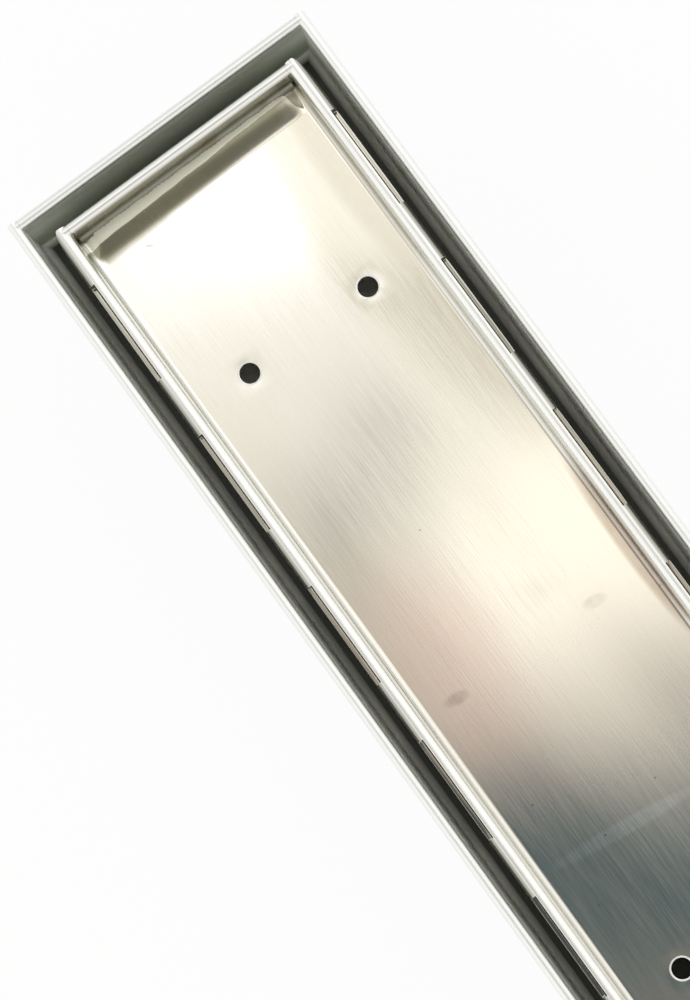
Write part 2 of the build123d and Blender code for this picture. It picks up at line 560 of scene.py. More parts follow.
@dataclass(frozen=True)
class TraySteel(BrushedSteel):
    """Brushed sheet of the tray, with handling marks, and by each end weld a heat stain with a
    painted reflection of the end plate and a painted highlight strip.
    """

    scratches: float = 0.12
    heat_edge: float = 349.5
    strip_edge: float = 356.3
    middle: float = 33.5
    slope: float = -1.4
    # The dark band by each end weld is heat stain and a painted reflection of the end plate; the
    # strip beside the weld is a painted highlight.
    heat: Tone = (0.34, 0.335, 0.25)
    pickled: Tone = (0.96, 0.97, 0.85)
    taper: float = 0.039
    slack: float = 0.6
    bend_foot: float = 35.2
    dulling: float = 0.34
    lip_height: float = 65.2
    lip_side: float = 40.2
    lip_tone: Tone = (0.38, 0.37, 0.33)
    shoulder: Pair = (39.2, 41.2)
    # Painted shade on the outer side of each fold's crown, above the slots.
    shoulder_tone: Tone = (0.14, 0.14, 0.115)
    marks: tuple[Mark, ...] = (
        Mark((-197.0, -26.5), (2.2, 4.4), (0.42, 0.40, 0.36), 0.5, turn=0.15),
        Mark((-196.4, 19.0), (2.2, 4.2), (0.42, 0.41, 0.36), 0.32, turn=0.15),
        Mark((-347.0, -21.5), (0.5, 1.6), (0.30, 0.29, 0.25), 0.6, turn=0.6),
        # Painted highlight: a light streak across the floor.
        Mark((-142.9, -10.0), (2.6, 27.0), (1.00, 1.00, 0.98), 0.6, turn=0.11, mottle=0.15),
        # Painted reflection along the bend of the +Y wall.
        Mark((-203.0, 35.4), (34.0, 3.4), (0.42, 0.345, 0.285), 0.75, mottle=0.1),
        # Painted shade on the floor along the +Y side, towards the left end.
        Mark((-332.0, 34.5), (42.0, 8.5), (0.62, 0.59, 0.51), 0.6, mottle=0.1),
        *(Mark(speck, (0.4, 0.4), (0.34, 0.31, 0.26), 0.7) for speck in (
            (-239.7, -7.7), (-162.1, -26.7), (-144.4, -15.7), (-189.6, 35.7), (-130.4, -28.0),
            (-148.9, 4.1))),
    )
    holes: tuple[Pair, ...] = ((302.0, 20.0), (104.1, 20.0))
    ring: float = 3.45
    # The ring tone is a painted highlight on the broken edges of the drip holes.
    ring_tone: Tone = (0.97, 0.97, 0.95)
    floor: float = 59.0

    def bright_rim(self, board: FinishBoard) -> Socket:
        """The crown of each fold as a mask of painted highlight, towards the tile only, not on its
        outer side.
        """
        inner = board.rise(board.aside, self.shoulder[0] + 0.9, self.shoulder[0])
        return board.times(super().bright_rim(board), inner)

    def heat_band(self, board: FinishBoard) -> tuple[Socket, Socket]:
        """By each end weld: a dark band, heat stain and painted reflection of the end plate, and a
        painted highlight strip beside the weld.

        Args:
            board: The material's board.

        Returns:
            A mask of the band and one of the strip.
        """
        wave = board.math("MULTIPLY_ADD", board.noise((30.0, 120.0, 30.0)), 1.0 * MM, -0.5 * MM)
        level = board.math("ADD", board.from_middle, wave)
        shift = board.math("MULTIPLY_ADD", board.parts[1], self.taper, self.slack * MM)
        along = board.math("SUBTRACT", level, shift)
        past = board.math("MAXIMUM", board.math("SUBTRACT", board.aside, self.middle * MM), 0.0)
        start = board.math("MULTIPLY_ADD", past, self.slope, along)
        fade = board.rise(start, self.heat_edge, self.heat_edge + 3.0, smooth=True)
        edge = self.strip_edge
        band = board.times(fade, board.rise(along, edge + 0.25, edge - 0.25))
        beside = board.rise(board.aside, self.bend_foot + 1.0, self.bend_foot)
        return band, board.times(board.rise(along, edge - 0.2, edge + 0.2), beside)

    def hole_rings(self, board: FinishBoard) -> Socket:
        """The broken edges of the drip holes, where a highlight is painted.

        Args:
            board: The material's board.

        Returns:
            A mask, 1 on the edges.
        """
        folded = board.vector("ABSOLUTE", board.place).outputs[0]
        centres = [tuple(part * MM for part in (*hole, self.floor)) for hole in self.holes]
        gaps = [board.vector("DISTANCE", folded, centre).outputs["Value"] for centre in centres]
        away = board.math("MINIMUM", *gaps)
        upper = board.math("GREATER_THAN", board.height, (self.floor - 0.36) * MM)
        return board.times(board.rise(away, self.ring, self.ring - 0.1), upper)

    def stain(self, board: FinishBoard, clean: Surface) -> Surface:
        """Lays the marks, painted shoulder shade, darker slot lips, and a band beside each weld.

        Args:
            board: The material's board.
            clean: The clean sheet.

        Returns:
            The sheet with its stains.
        """
        band, strip = self.heat_band(board)
        foot = self.bend_foot
        in_bend = board.times(board.rise(board.aside, foot, foot + 0.7),
                              board.rise(board.height, self.floor + 3.0, self.floor + 2.0))
        dulled = board.math("MAXIMUM", board.math("MAXIMUM", strip, board.times(band, 0.45)),
                            board.times(in_bend, 0.7))
        ring = self.hole_rings(board)
        rough = board.math("MULTIPLY_ADD", dulled, self.dulling, clean.rough)
        rough = board.math("MULTIPLY_ADD", ring, 0.35, rough)

        high = board.math("GREATER_THAN", board.height, (self.lip_height + 0.3) * MM)
        at_lip = board.math("COMPARE", board.height, self.lip_height * MM, 0.08 * MM)
        outside = board.math("GREATER_THAN", board.aside, self.lip_side * MM)
        colour = clean.colour
        shoulder = board.times(high, board.rise(board.aside, *self.shoulder))
        # Band: heat stain and painted reflection; strip: painted highlight; shoulder: painted
        # shade.
        for mask, tone in ((band, self.heat), (strip, self.pickled),
                           (shoulder, self.shoulder_tone),
                           (board.times(at_lip, outside), self.lip_tone)):
            colour = board.blend(mask, colour, tone)
        for mark in self.marks:
            colour = mark.lay_over(board, colour)
        return Surface(board.blend(ring, colour, self.ring_tone), rough)


@dataclass(frozen=True)
class WeldSteel:
    """Weld metal, rippled and slightly blued, with dark stained patches."""

    name: str
    colour: Tone = (0.25, 0.25, 0.205)
    stain: Tone = (0.18, 0.145, 0.10)
    stain_share: float = 0.7
    roughness: Pair = (0.26, 0.42)

    def build(self) -> Material:
        """Builds the material.

        Returns:
            The material.
        """
        board = FinishBoard(self.name)
        patches = board.spread(board.noise(160.0, detail=3.0), (0.52, 0.68))
        stained = board.times(patches, self.stain_share)
        grain = board.noise(2400.0)
        return board.complete("BsdfPrincipled", {
            "Base Color": board.blend(stained, self.colour, self.stain),
            "Metallic": 1.0,
            "Roughness": board.spread(grain, (0.3, 0.7), self.roughness),
            "Normal": board.bump(grain, 0.3, 0.05)})


@dataclass(frozen=True)
class FloorPaint:
    """White floor that stays nearly white to the camera and keeps a soft shadow."""

    name: str = "floor_white"
    tone: Tone = (0.90, 0.90, 0.90)
    lift: float = 0.92

    def build(self) -> Material:
        """Builds the material.

        Returns:
            The material.
        """
        board = FinishBoard(self.name)
        rays = board.add("LightPath").outputs
        seen = board.math("MAXIMUM", rays["Is Camera Ray"], rays["Is Glossy Ray"])
        seen = board.math("MAXIMUM", seen, rays["Is Transmission Ray"])
        paint = board.add("BsdfDiffuse", {"Color": self.tone}).outputs[0]
        glow = board.add("Emission", {"Color": WHITE, "Strength": 1.0}).outputs[0]
        return board.complete("MixShader", {0: board.times(seen, self.lift), 1: paint, 2: glow})


# Meshes


def merge_doubles(mesh: Mesh) -> None:
    """Makes one point of those that are in the same place."""
    bmesh.ops.remove_doubles(mesh, verts=mesh.verts[:], dist=SAME_PLACE)


def turn_outwards(mesh: Mesh) -> None:
    """Turns every face of a mesh outwards."""
    bmesh.ops.recalc_face_normals(mesh, faces=mesh.faces[:])


def close_ends(mesh: Mesh) -> None:
    """Closes the open ends of a swept mesh."""
    bmesh.ops.holes_fill(mesh, edges=[edge for edge in mesh.edges if edge.is_boundary])
    turn_outwards(mesh)


def sharp_edges(mesh: Mesh) -> list[Edge]:
    """Finds the cut edges of a sheet or a pipe."""
    limit = math.radians(CUT_ANGLE)
    return [edge for edge in mesh.edges if edge.is_manifold and edge.calc_face_angle(0.0) > limit]


def round_off(mesh: Mesh, parts: list, offset: float, segments: int = 2,
              affect: str = "EDGES") -> None:
    """Rounds edges or corners.

    Args:
        mesh: The mesh.
        parts: The edges or corners.
        offset: Width of the rounding on each side.
        segments: Straight parts that make it up.
        affect: What is rounded, as bevel calls it.
    """
    bmesh.ops.bevel(mesh, geom=parts, offset=offset, segments=segments, profile=0.5,
                    affect=affect, material=-1)


def spin_round(mesh: Mesh, parts: list, steps: int) -> None:
    """Spins a closed section once round the spigot's axis.

    Args:
        mesh: The mesh.
        parts: Points and edges of the section.
        steps: Straight parts of the circle.
    """
    bmesh.ops.spin(mesh, geom=parts, cent=(0, 0, 0), axis=(0, 0, 1), angle=2 * math.pi,
                   steps=steps, use_merge=True)
    merge_doubles(mesh)


def join(target: Mesh, addition: Mesh) -> None:
    """Adds one mesh to another.

    Args:
        target: The mesh that grows.
        addition: The mesh that is added, which is used up.
    """
    carrier = bpy.data.meshes.new("carrier")
    addition.to_mesh(carrier)
    addition.free()
    target.from_mesh(carrier)
    bpy.data.meshes.remove(carrier)


class FoldedSheet:
    """A sheet drawn by its visible face: a folded line, swept along the folds."""

    cell_inset = 0.3  # stays under the spacing of the points round a hole's cell
    corner_steps = 5

    def __init__(self, start: Point, axis: Vector) -> None:
        """Starts the line.

        Args:
            start: First point of the line, in millimetres.
            axis: Direction of the folds, and of the sweep.
        """
        self.mesh = bmesh.new()
        self.axis = axis
        self.tip = self.mesh.verts.new(start)

    def run(self, *ends: Point) -> None:
        """Draws straight runs.

        Args:
            *ends: Where each run ends.
        """
        for end in ends:
            made = bmesh.ops.extrude_vert_indiv(self.mesh, verts=[self.tip])
            self.tip = made["verts"][0]
            self.tip.co = end

    def turn_point(self, start: Vert, centre: Point, axis: Vector, degrees: float,
                   steps: int) -> Vert:
        """Draws an arc from a point.

        Args:
            start: The point.
            centre: Centre of the arc.
            axis: Axis that it turns about.
            degrees: Angle that it turns.
            steps: Straight parts that make it up.

        Returns:
            The arc's last point.
        """
        made = bmesh.ops.spin(self.mesh, geom=[start], cent=centre, axis=axis,
                              angle=math.radians(degrees), steps=steps)
        return next(part for part in made["geom_last"] if isinstance(part, Vert))

    def bend(self, centre: Point, degrees: float, steps: int) -> None:
        """Draws a bend about the axis of the folds, in so many straight parts."""
        self.tip = self.turn_point(self.tip, centre, self.axis, degrees, steps)

    def nearest_face(self, point: Vector) -> bmesh.types.BMFace:
        """Finds the face whose middle is nearest to a point."""
        return min(self.mesh.faces, key=lambda face: (face.calc_center_median() - point).length)

    def mirror_across(self) -> None:
        """Adds the other half of a section that starts in the middle."""
        everything = [*self.mesh.verts, *self.mesh.edges, *self.mesh.faces]
        bmesh.ops.mirror(self.mesh, geom=everything, axis="Y", merge_dist=SAME_PLACE)
        merge_doubles(self.mesh)

    def sweep(self, stations: Iterable[float]) -> None:
        """Sweeps the line through places along the axis, with an edge across at each.

        Args:
            stations: Places along the axis. The first is where the line starts.
        """
        places = sorted(set(round(place, 4) for place in stations))
        bmesh.ops.translate(self.mesh, verts=self.mesh.verts[:], vec=self.axis * places[0])
        edges = self.mesh.edges[:]
        for before, after in zip(places, places[1:]):
            made = bmesh.ops.extrude_edge_only(self.mesh, edges=edges)["geom"]
            verts = [part for part in made if isinstance(part, Vert)]
            edges = [part for part in made if isinstance(part, Edge)]
            bmesh.ops.translate(self.mesh, verts=verts, vec=self.axis * (after - before))

    def cut_away(self, inside: Callable[[Vector], bool]) -> None:
        """Takes out faces.

        Args:
            inside: Tells whether a face with this middle goes.
        """
        faces = [face for face in self.mesh.faces if inside(face.calc_center_median())]
        bmesh.ops.delete(self.mesh, geom=faces, context="FACES")

    def pierce(self, centre: Point, radius: float, cuts: int) -> None:
        """Makes a round hole in the flat face round a point.

        Args:
            centre: Middle of the hole.
            radius: Its radius.
            cuts: Cuts in each side of that face.
        """
        middle = Vector(centre)
        cell = self.nearest_face(middle)
        bmesh.ops.bisect_edges(self.mesh, edges=cell.edges[:], cuts=cuts)
        bmesh.ops.inset_individual(self.mesh, faces=[cell], thickness=self.cell_inset)
        for vert in cell.verts:
            vert.co = middle + (vert.co - middle).normalized() * radius
        bmesh.ops.delete(self.mesh, geom=[cell], context="FACES")

    def round_inner_corner(self, tip: Vector, from_point: Vector, degrees: float,
                           corner: Vector) -> None:
        """Rounds the inner corner of a notch, inside the square face that stands in it.

        Args:
            tip: Free corner of that face, the centre of the rounding.
            from_point: Corner where the rounding starts.
            degrees: Angle from there to where it ends, about the sheet's normal.
            corner: Corner of the face that stays.
        """
        cell = self.nearest_face((tip + corner) / 2)
        start = min(cell.verts, key=lambda vert: (vert.co - from_point).length)
        kept = [edge for edge in cell.edges
                if min((vert.co - corner).length for vert in edge.verts) < NEAR]
        finish = next(vert for edge in kept for vert in edge.verts
                      if vert is not start and (vert.co - corner).length > NEAR)
        bmesh.ops.delete(self.mesh, geom=[cell], context="FACES")
        last = self.turn_point(start, tip, Y_AXIS, degrees, self.corner_steps)
        bmesh.ops.weld_verts(self.mesh, targetmap={last: finish})
        arc = [edge for edge in self.mesh.edges if edge.is_wire]
        bmesh.ops.contextual_create(self.mesh, geom=arc + kept)

    def thicken(self, outward: Vector, probe: Vector) -> None:
        """Gives the sheet its thickness behind its visible face.

        Args:
            outward: Direction that the visible face looks in at the probe.
            probe: A point near a face of the sheet.
        """
        merge_doubles(self.mesh)
        turn_outwards(self.mesh)
        if self.nearest_face(probe).normal.dot(outward) < 0:
            bmesh.ops.reverse_faces(self.mesh, faces=self.mesh.faces[:])
        bmesh.ops.solidify(self.mesh, geom=self.mesh.faces[:], thickness=SHEET)
        turn_outwards(self.mesh)

    def round_cut_edges(self) -> None:
        """Rounds the cut edges of the sheet."""
        round_off(self.mesh, sharp_edges(self.mesh), EDGE_ROUNDING)


def lay_brush_map(mesh: Mesh, grain: Grain) -> None:
    """Gives each face a map whose U runs across the brush lines.

    Args:
        mesh: The mesh.
        grain: Direction of the lines.
    """
    layer = mesh.loops.layers.uv.new("brush")
    for face in mesh.faces:
        line = X_AXIS if grain is Grain.ALONG else Y_AXIS
        if grain is Grain.ROUND:
            line = Z_AXIS.cross(face.calc_center_median()).normalized()
        if abs(face.normal.dot(line)) > 0.9:
            line = Z_AXIS if grain is Grain.ROUND else Vector((line.y, line.x, 0))
        along = (line - face.normal * line.dot(face.normal)).normalized()
        across = face.normal.cross(along)
        for loop in face.loops:
            loop[layer].uv = (loop.vert.co.dot(across) * MM, loop.vert.co.dot(along) * MM)


def put_in_scene(name: str, data: bpy.types.ID) -> Piece:
    """Puts a mesh, a light or a camera into the scene."""
    piece = bpy.data.objects.new(name, data)
    bpy.context.scene.collection.objects.link(piece)
    return piece


def finish_piece(mesh: Mesh, name: str, finish: Material,
                 nodes: Iterable[str] = (), grain: Grain | None = None) -> Piece:
    """Turns a mesh in millimetres into a piece of the drain.

    Args:
        mesh: The mesh, which is used up.
        name: Name of the piece.
        finish: Its material.
        nodes: CAD nodes that it stands for.
        grain: Direction of the brush lines, or None for a finish without them.

    Returns:
        The piece's object.
    """
    if grain:
        lay_brush_map(mesh, grain)
    bmesh.ops.scale(mesh, vec=(MM, MM, MM), verts=mesh.verts[:])
    data = bpy.data.meshes.new(name)
    mesh.to_mesh(data)
    mesh.free()
    data.shade_smooth()
    data.set_sharp_from_angle(angle=math.radians(SHARP_ANGLE))
    data.materials.append(finish)
    piece = put_in_scene(name, data)
    piece.modifiers.new("even_shading", "WEIGHTED_NORMAL").keep_sharp = True
    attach(piece, "root")
    if nodes:
        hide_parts(*nodes)
    log.info("%s: %d faces", name, len(data.polygons))
    return piece


# Sub-assemblies


@dataclass
class Basin:
    """A long folded sheet with a hemmed plate at each end, as the trough and the tray both are."""

    kind: str
    length: float
    width: float
    floor: float
    side_fold: float
    bend_radius: float
    top: float = 70.0
    hem_width: float = 3.1
    hem_leaf: float = 8.0

    @property
    def wall(self) -> float:
        """Inner face of a side wall."""
        return self.width / 2 - self.side_fold

    @property
    def end_wall(self) -> float:
        """Inner face of an end plate."""
        return self.length / 2 - self.hem_width

    def build_end_plate(self, end: End, finish: Material) -> Piece:
        """Folds one upright end plate, with a hem that looks away from the middle.

        Args:
            end: Which end it closes.
            finish: Material of the plate.

        Returns:
            The piece.
        """
        way, crown = end.value, self.hem_width / 2
        face, outside = way * self.end_wall, way * (self.end_wall + self.hem_width)
        sheet = FoldedSheet((face, 0, self.floor), Y_AXIS)
        sheet.run((face, 0, self.top - crown))
        sheet.bend((face + way * crown, 0, self.top - crown), 180 * way, HEM_STEPS)
        sheet.run((outside, 0, self.top - self.hem_leaf))
        sheet.sweep(self.wall * third / 3 for third in range(-3, 4))
        corners = [vert for vert in sheet.mesh.verts
                   if abs(vert.co.z - self.floor) < NEAR and abs(abs(vert.co.y) - self.wall) < NEAR]
        round_off(sheet.mesh, corners, self.bend_radius, segments=6, affect="VERTICES")
        sheet.thicken(X_AXIS * -way, Vector((face, 0, self.floor + 4)))
        sheet.round_cut_edges()
        name = f"{self.kind}_end_plate_{end.name.lower()}"
        return finish_piece(sheet.mesh, name + "_sheet", finish, [name],
                            Grain.ACROSS)


@dataclass
class Trough(Basin):
    """The folded trough with its hemmed walls, its two end plates and the outlet spigot."""

    kind: str = "channel"
    length: float = 745.0
    width: float = 100.0
    floor: float = 41.2
    side_fold: float = 3.1
    bend_radius: float = 2.0
    station_pitch: int = 50
    hole_margin: float = 5.0
    spigot_radius: float = 25.0
    spigot_wall: float = 1.5
    spigot_length: float = 40.0
    spigot_rounding: float = 0.3

    def build_channel(self, finish: Material) -> Piece:
        """Folds the floor, the walls and the hems from one sheet.

        Args:
            finish: Material of the sheet.

        Returns:
            The piece.
        """
        crown, bend_line = self.side_fold / 2, self.wall - self.bend_radius
        cell = self.spigot_radius + self.hole_margin
        sheet = FoldedSheet((0, 0, self.floor), X_AXIS)
        sheet.run((0, cell, self.floor), (0, bend_line, self.floor))
        sheet.bend((0, bend_line, self.floor + self.bend_radius), 90, BEND_STEPS)
        sheet.run((0, self.wall, self.top - crown))
        sheet.bend((0, self.wall + crown, self.top - crown), -180, HEM_STEPS)
        sheet.run((0, self.width / 2, self.top - self.hem_leaf))
        sheet.mirror_across()
        between = (self.station_pitch * step for step in range(-7, 8) if step)
        sheet.sweep([-self.length / 2, *between, -cell, cell, self.length / 2])
        bmesh.ops.dissolve_edges(sheet.mesh, edges=[
            edge for edge in sheet.mesh.edges
            if all(abs(vert.co.y) < NEAR and abs(vert.co.x) < cell + 1 for vert in edge.verts)])
        sheet.pierce((0, 0, self.floor), self.spigot_radius - self.spigot_wall, cuts=15)
        sheet.thicken(Z_AXIS, Vector((200, 0, self.floor)))
        sheet.round_cut_edges()
        return finish_piece(sheet.mesh, "channel_sheet", finish,
                            ["channel_trough"], Grain.ALONG)

    def build_spigot(self, finish: Material) -> Piece:
        """Turns the outlet spigot.

        Args:
            finish: Material of the pipe.

        Returns:
            The piece.
        """
        pipe = bmesh.new()
        outer, bore = self.spigot_radius, self.spigot_radius - self.spigot_wall
        corners = ((bore, 0), (outer, 0), (outer, self.spigot_length), (bore, self.spigot_length))
        verts = [pipe.verts.new((reach, 0, height)) for reach, height in corners]
        edges = [pipe.edges.new((verts[number - 1], verts[number])) for number in range(4)]
        spin_round(pipe, verts + edges, steps=96)
        turn_outwards(pipe)
        round_off(pipe, sharp_edges(pipe), self.spigot_rounding, segments=3)
        return finish_piece(pipe, "spigot_pipe", finish, ["outlet_spigot"],
                            Grain.ROUND)


@dataclass
class TileTray(Basin):
    """The loose tray: a folded sheet with slotted outer leaves, and a hemmed plate at each end.

    The floor's points stand closer towards the bend, at the distances in curl_taper, because
    the curl by an end plate runs out there.
    """

    kind: str = "tray"
    length: float = 726.8
    width: float = 83.0
    floor: float = 59.0
    side_fold: float = 4.7
    bend_radius: float = 1.5
    fold_steps: tuple[int, int] = (11, 8)
    foot: float = 41.2
    cope_length: float = 10.0
    cope_width: float = 1.9
    slot_count: int = 14
    slot_length: float = 31.8
    slot_end_margin: float = 18.2
    slot_depth: float = 4.8
    slot_crown_angle: float = 17.0
    notch_height: float = 10.0
    notch_radius: float = 3.0
    drip_radius: float = 2.8
    drip_chamfer: float = 0.4
    drip_side: float = 20.0
    drip_end_margin: float = 61.4
    drip_row_gap: float = 197.9
    drip_cell: float = 6.0
    curl_margin: float = 3.0
    curl_length: float = 6.4
    curl_rise: float = 1.05
    curl_taper: tuple[float, ...] = (4.0, 3.2, 2.4, 1.6, 0.9, 0.4, 0.0)
    curl_steps: int = 8

    @property
    def slot_places(self) -> list[float]:
        """Middle of each slot along the tray."""
        pitch = (self.length - 2 * self.slot_end_margin - self.slot_length) / (self.slot_count - 1)
        return [(number - (self.slot_count - 1) / 2) * pitch for number in range(self.slot_count)]

    @property
    def drip_places(self) -> list[float]:
        """Each row of drip holes along the tray."""
        outer = self.length / 2 - self.drip_end_margin
        inner = outer - self.drip_row_gap
        return [-outer, -inner, inner, outer]

    @property
    def slot_foot(self) -> float:
        """Height of the slots' lower edge."""
        return self.top - self.slot_depth

    @property
    def notch_top(self) -> float:
        """Height of the notches' upper edge."""
        return self.foot + self.notch_height

    @property
    def curl_start(self) -> float:
        """Distance from the middle at which the floor starts to curl up."""
        return self.end_wall - self.curl_margin - self.curl_length

    def draw_section(self) -> FoldedSheet:
        """Draws the upper face of the floor, a wall, its open fold and its outer leaf.

        Returns:
            The line, mirrored to both sides.
        """
        half_fold, bend_line = self.side_fold / 2, self.wall - self.bend_radius
        crown = (0, self.wall + half_fold, self.top - half_fold)
        sheet = FoldedSheet((0, 0, self.floor), X_AXIS)
        across = (self.drip_side - self.drip_cell, self.drip_side + self.drip_cell,
                  *(bend_line - back for back in self.curl_taper))
        sheet.run(*((0, place, self.floor) for place in across))
        sheet.bend((0, bend_line, self.floor + self.bend_radius), 90, BEND_STEPS)
        sheet.run((0, self.wall, self.top - half_fold))
        sheet.bend(crown, -90 - self.slot_crown_angle, self.fold_steps[0])
        sheet.bend(crown, -90 + self.slot_crown_angle, self.fold_steps[1])
        heights = (self.slot_foot, self.notch_top, self.notch_top - self.notch_radius, self.foot)
        sheet.run(*((0, self.width / 2, height) for height in heights))
        sheet.mirror_across()
        return sheet

    def cope_corners(self, sheet: FoldedSheet) -> None:
        """Draws the ends of each fold and leaf back along a quarter of an ellipse."""
        inner = self.width / 2 - self.cope_width
        room = self.cope_length + 2
        for vert in sheet.mesh.verts:
            nearness = (abs(vert.co.x) - self.length / 2 + room) / room
            if nearness > 0 and abs(vert.co.y) > inner:
                share = min((abs(vert.co.y) - inner) / self.cope_width, 1.0)
                back = self.cope_length * (1 - math.sqrt(1 - share * share)) * nearness
                vert.co.x -= math.copysign(back, vert.co.x)

    def curl_ends(self, sheet: FoldedSheet) -> None:
        """Draws the floor up towards each end plate, as the heat of the weld has."""
        side = self.wall - self.bend_radius
        for vert in sheet.mesh.verts:
            if abs(vert.co.z - self.floor) < NEAR and abs(vert.co.x) > self.curl_start:
                share = min((abs(vert.co.x) - self.curl_start) / self.curl_length, 1.0)
                taper = min(max((side - abs(vert.co.y)) / self.curl_taper[0], 0.0), 1.0)
                vert.co.z += self.curl_rise * share * share * (3 - 2 * share) * taper * (2 - taper)

    def cut_slots(self, sheet: FoldedSheet) -> None:
        """Cuts the slots under the folds and the notches between the feet.

        Args:
            sheet: The swept sheet.
        """
        half, radius = self.slot_length / 2, self.notch_radius
        half_fold = self.side_fold / 2
        crown_edge = self.wall + half_fold * (1 + math.sin(math.radians(self.slot_crown_angle)))

        def cut_here(middle: Vector) -> bool:
            """Tells whether a face is in a slot or a notch."""
            near = min(abs(middle.x - place) for place in self.slot_places)
            if near > half or abs(middle.y) < crown_edge:
                return False
            in_corner = near > half - radius and middle.z > self.notch_top - radius
            return middle.z > self.slot_foot or (middle.z < self.notch_top and not in_corner)

        sheet.cut_away(cut_here)
        for place, side, way in product(self.slot_places, (-1, 1), (-1, 1)):
            tip = Vector((place + way * (half - radius), side * self.width / 2,
                          self.notch_top - radius))
            start = tip + X_AXIS * way * radius
            sheet.round_inner_corner(tip, start, -90 * way, start + Z_AXIS * radius)

    def break_hole_edges(self, sheet: FoldedSheet) -> None:
        """Chamfers the upper edge of each drip hole.

        Args:
            sheet: The sheet, with its thickness.
        """
        def on_rim(vert: Vert) -> bool:
            """Tells whether a point is on the upper edge of a hole."""
            gaps = (math.hypot(vert.co.x - place, abs(vert.co.y) - self.drip_side)
                    for place in self.drip_places)
            return abs(vert.co.z - self.floor) < NEAR and abs(min(gaps) - self.drip_radius) < 0.05

        rims = [edge for edge in sharp_edges(sheet.mesh)
                if all(on_rim(vert) for vert in edge.verts)]
        round_off(sheet.mesh, rims, self.drip_chamfer)

    def build_tray(self, finish: Material) -> Piece:
        """Folds the tray's sheet with its slots, notches, coped corners and drip holes.

        Args:
            finish: Material of the sheet.

        Returns:
            The piece.
        """
        half, radius = self.slot_length / 2, self.notch_radius
        curls = (self.curl_start + self.curl_length * step / self.curl_steps
                 for step in range(self.curl_steps + 1))
        stations = [side * place for place in (self.length / 2, *curls) for side in (-1, 1)]
        for places, gaps in ((self.slot_places, (half, half - radius)),
                             (self.drip_places, (self.drip_cell,))):
            stations += [place + side * gap for place in places for gap in gaps for side in (-1, 1)]
        sheet = self.draw_section()
        sheet.sweep(stations)
        self.cope_corners(sheet)
        self.curl_ends(sheet)
        self.cut_slots(sheet)
        for place, side in product(self.drip_places, (-1, 1)):
            sheet.pierce((place, side * self.drip_side, self.floor), self.drip_radius, cuts=9)
        sheet.thicken(Z_AXIS, Vector((0, 0, self.floor)))
        self.break_hole_edges(sheet)
        sheet.round_cut_edges()
        return finish_piece(sheet.mesh, "tray_sheet", finish, ["tile_tray"],
                            Grain.ALONG)


@dataclass(frozen=True)
class PlateSeam:
    """Where the beads of an end plate lie, and how wide they are on each face.

    The foot bead runs from edge to edge across the drain, and a corner bead runs up each
    side wall. They lie towards the middle of the drain or, with outside, away from it.
    """

    basin: Basin
    outside: bool
    face: float
    edge: float
    foot: float
    corner_heights: Pair
    leg: float
    corner_leg: float


